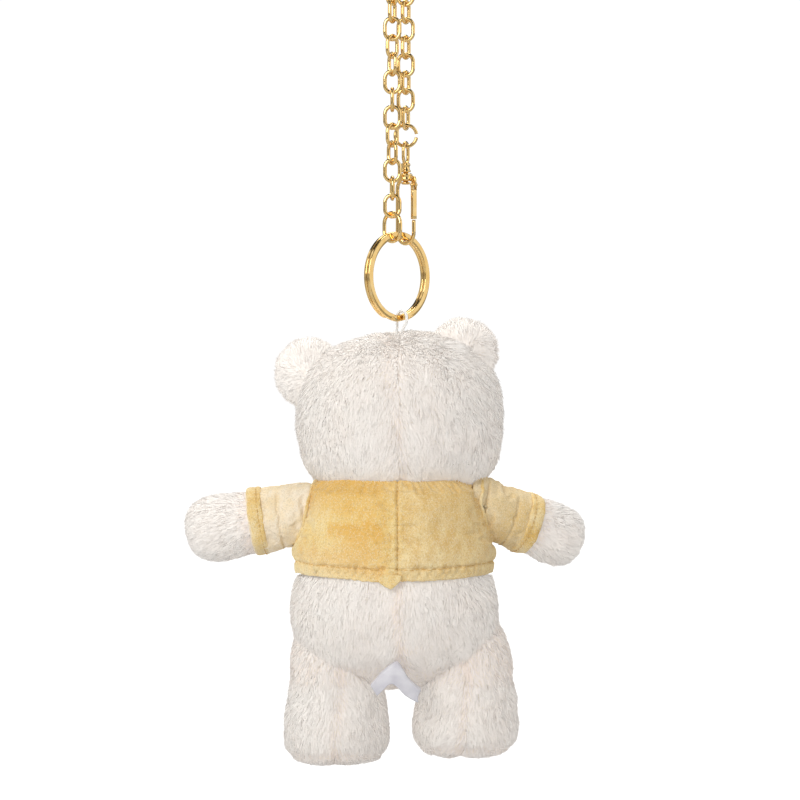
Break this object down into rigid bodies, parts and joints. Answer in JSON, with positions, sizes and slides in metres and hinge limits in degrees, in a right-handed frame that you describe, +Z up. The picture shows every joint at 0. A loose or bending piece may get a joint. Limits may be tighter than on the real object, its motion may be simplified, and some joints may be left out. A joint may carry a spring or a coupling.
{
  "type": "plush keychain",
  "caption": "Stuffed plush bear in a short velour shirt, hung by a cord loop from a split key ring on a doubled cable chain with a swivel snap hook.",
  "frame": {"origin": "the point under the top of the doubled chain where a peg or finger would hold it", "axes": "+Z up along the hanging chain; the bear faces +Y, so its back faces -Y; +X is to the right seen from behind the bear"},
  "size_m": [0.1354, 0.0691, 0.2667],
  "materials": {
    "gold_metal": "polished pale gold plating",
    "spring_steel": "plain spring steel",
    "plush_fabric": "short dense off-white plush pile",
    "polyester_filling": "loose white fibre filling",
    "velour": "golden velour with a soft sheen",
    "satin": "smooth pale satin, blank",
    "white_cord": "white braided cord",
    "embroidery_thread": "dark brown satin stitch",
    "eye_bead": "glossy black"
  },
  "bodies": {
    "chain_top": {"top_link": "gold_metal"},
    "chain_row_01": {"left_link_01": "gold_metal", "right_link_01": "gold_metal"},
    "chain_row_02": {"left_link_02": "gold_metal", "right_link_02": "gold_metal"},
    "chain_row_03": {"left_link_03": "gold_metal", "right_link_03": "gold_metal"},
    "chain_row_04": {"left_link_04": "gold_metal", "right_link_04": "gold_metal"},
    "chain_row_05": {"left_link_05": "gold_metal", "right_link_05": "gold_metal"},
    "chain_row_06": {"left_link_06": "gold_metal", "right_link_06": "gold_metal"},
    "chain_row_07": {"left_link_07": "gold_metal", "right_link_07": "gold_metal"},
    "chain_row_08": {"left_link_08": "gold_metal", "right_link_08": "gold_metal"},
    "chain_row_09": {"left_link_09": "gold_metal", "right_link_09": "gold_metal"},
    "chain_row_10": {"left_link_10": "gold_metal", "jump_ring": "gold_metal"},
    "chain_row_11": {"left_link_11": "gold_metal", "swivel_eye": "gold_metal"},
    "left_link_12": {"left_link_12": "gold_metal"},
    "left_link_13": {"left_link_13": "gold_metal"},
    "left_link_14": {"left_link_14": "gold_metal"},
    "end_link": {"end_link": "gold_metal"},
    "hook": {"hook_body": "gold_metal", "gate_pin": "gold_metal", "gate_spring": "spring_steel"},
    "gate": {"gate": "gold_metal"},
    "key_ring": {"key_ring": "gold_metal"},
    "bear": {"cord_loop": "white_cord", "cord_knot": "white_cord", "head_skin": "plush_fabric", "head_filling": "polyester_filling", "ear_left": "plush_fabric", "ear_right": "plush_fabric", "muzzle": "plush_fabric", "nose": "embroidery_thread", "eye_left": "eye_bead", "eye_right": "eye_bead", "torso_skin": "plush_fabric", "torso_filling": "polyester_filling", "shirt_body": "velour", "closure_tab": "velour", "care_label": "satin"},
    "arm_left": {"arm_skin_left": "plush_fabric", "arm_filling_left": "polyester_filling", "sleeve_left": "velour"},
    "leg_left": {"leg_skin_left": "plush_fabric", "leg_filling_left": "polyester_filling"},
    "arm_right": {"arm_skin_right": "plush_fabric", "arm_filling_right": "polyester_filling", "sleeve_right": "velour"},
    "leg_right": {"leg_skin_right": "plush_fabric", "leg_filling_right": "polyester_filling"}
  },
  "joints": [
    {"name": "key_ring_swing", "type": "hinge", "parent": "end_link", "child": "key_ring", "pos_m": [-0.00223, -0.00243, -0.08679], "axis": [0.6769, 0.7361, 0], "range_deg": [-60, 60]},
    {"name": "bear_swing", "type": "hinge", "parent": "key_ring", "child": "bear", "pos_m": [0.00095, 0.00103, -0.11419], "axis": [0.6769, 0.7361, 0], "range_deg": [-45, 45]},
    {"name": "arm_left_lift", "type": "hinge", "parent": "bear", "child": "arm_left", "pos_m": [-0.0246, 0, -0.1785], "axis": [0.0698, 0.9976, 0], "range_deg": [-10, 12], "stiffness_Nm_per_rad": 0.02},
    {"name": "arm_right_lift", "type": "hinge", "parent": "bear", "child": "arm_right", "pos_m": [0.0234, 0, -0.176], "axis": [0.342, -0.9397, 0], "range_deg": [-5, 12], "stiffness_Nm_per_rad": 0.02},
    {"name": "leg_left_swing", "type": "hinge", "parent": "bear", "child": "leg_left", "pos_m": [-0.0208, 0.001, -0.2267], "axis": [1, 0, 0], "range_deg": [-12, 12], "stiffness_Nm_per_rad": 0.03},
    {"name": "leg_right_swing", "type": "hinge", "parent": "bear", "child": "leg_right", "pos_m": [0.0223, 0.001, -0.2267], "axis": [1, 0, 0], "range_deg": [-12, 12], "stiffness_Nm_per_rad": 0.03},
    {"name": "hook_swivel_turn", "type": "hinge", "parent": "chain_row_11", "child": "hook", "pos_m": [0.00223, 0.00243, -0.06598], "axis": [0, 0, 1], "range_deg": [-20, 20]},
    {"name": "gate_open", "type": "hinge", "parent": "hook", "child": "gate", "pos_m": [0.00492, -0.00004, -0.06994], "axis": [0.6769, 0.7361, 0], "range_deg": [0, 20], "stiffness_Nm_per_rad": 0.002, "springref_deg": -8.59},
    {"name": "chain_swing_01", "type": "hinge", "parent": "chain_top", "child": "chain_row_01", "pos_m": [0, 0, 0.00263], "axis": [0.6769, 0.7361, 0], "range_deg": [-32, 32]},
    {"name": "chain_swing_02", "type": "hinge", "parent": "chain_row_01", "child": "chain_row_02", "pos_m": [0, 0, -0.00328], "axis": [-0.6769, -0.7361, 0], "range_deg": [-32, 32]},
    {"name": "chain_swing_03", "type": "hinge", "parent": "chain_row_02", "child": "chain_row_03", "pos_m": [0, 0, -0.00918], "axis": [0.6769, 0.7361, 0], "range_deg": [-32, 32]},
    {"name": "chain_swing_04", "type": "hinge", "parent": "chain_row_03", "child": "chain_row_04", "pos_m": [0, 0, -0.01507], "axis": [-0.6769, -0.7361, 0], "range_deg": [-32, 32]},
    {"name": "chain_swing_05", "type": "hinge", "parent": "chain_row_04", "child": "chain_row_05", "pos_m": [0, 0, -0.02098], "axis": [0.6769, 0.7361, 0], "range_deg": [-32, 32]},
    {"name": "chain_swing_06", "type": "hinge", "parent": "chain_row_05", "child": "chain_row_06", "pos_m": [0, 0, -0.02687], "axis": [-0.6769, -0.7361, 0], "range_deg": [-32, 32]},
    {"name": "chain_swing_07", "type": "hinge", "parent": "chain_row_06", "child": "chain_row_07", "pos_m": [0, 0, -0.03277], "axis": [0.6769, 0.7361, 0], "range_deg": [-32, 32]},
    {"name": "chain_swing_08", "type": "hinge", "parent": "chain_row_07", "child": "chain_row_08", "pos_m": [0, 0, -0.03868], "axis": [-0.6769, -0.7361, 0], "range_deg": [-32, 32]},
    {"name": "chain_swing_09", "type": "hinge", "parent": "chain_row_08", "child": "chain_row_09", "pos_m": [0, 0, -0.04457], "axis": [0.6769, 0.7361, 0], "range_deg": [-32, 32]},
    {"name": "chain_swing_10", "type": "hinge", "parent": "chain_row_09", "child": "chain_row_10", "pos_m": [0, 0, -0.05047], "axis": [-0.6769, -0.7361, 0], "range_deg": [-32, 32]},
    {"name": "chain_swing_11", "type": "hinge", "parent": "chain_row_10", "child": "chain_row_11", "pos_m": [0, 0, -0.05638], "axis": [0.6769, 0.7361, 0], "range_deg": [-32, 32]},
    {"name": "chain_bow", "type": "hinge", "parent": "chain_row_11", "child": "left_link_12", "pos_m": [-0.00223, -0.00243, -0.06227], "axis": [0.6769, 0.7361, 0], "range_deg": [-12, 12]},
    {"name": "chain_bow_13", "type": "hinge", "parent": "left_link_12", "child": "left_link_13", "pos_m": [-0.00223, -0.00243, -0.06817], "axis": [0.6769, 0.7361, 0], "range_deg": [-12, 12]},
    {"name": "chain_bow_14", "type": "hinge", "parent": "left_link_13", "child": "left_link_14", "pos_m": [-0.00223, -0.00243, -0.07408], "axis": [0.6769, 0.7361, 0], "range_deg": [-12, 12]},
    {"name": "chain_bow_15", "type": "hinge", "parent": "left_link_14", "child": "end_link", "pos_m": [-0.00223, -0.00243, -0.07998], "axis": [0.6769, 0.7361, 0], "range_deg": [-12, 12]}
  ],
  "couplings": [
    {"joint": "chain_bow_13", "follows": "chain_bow", "ratio": -1},
    {"joint": "chain_bow_14", "follows": "chain_bow", "ratio": -1},
    {"joint": "chain_bow_15", "follows": "chain_bow", "ratio": 1}
  ]
}
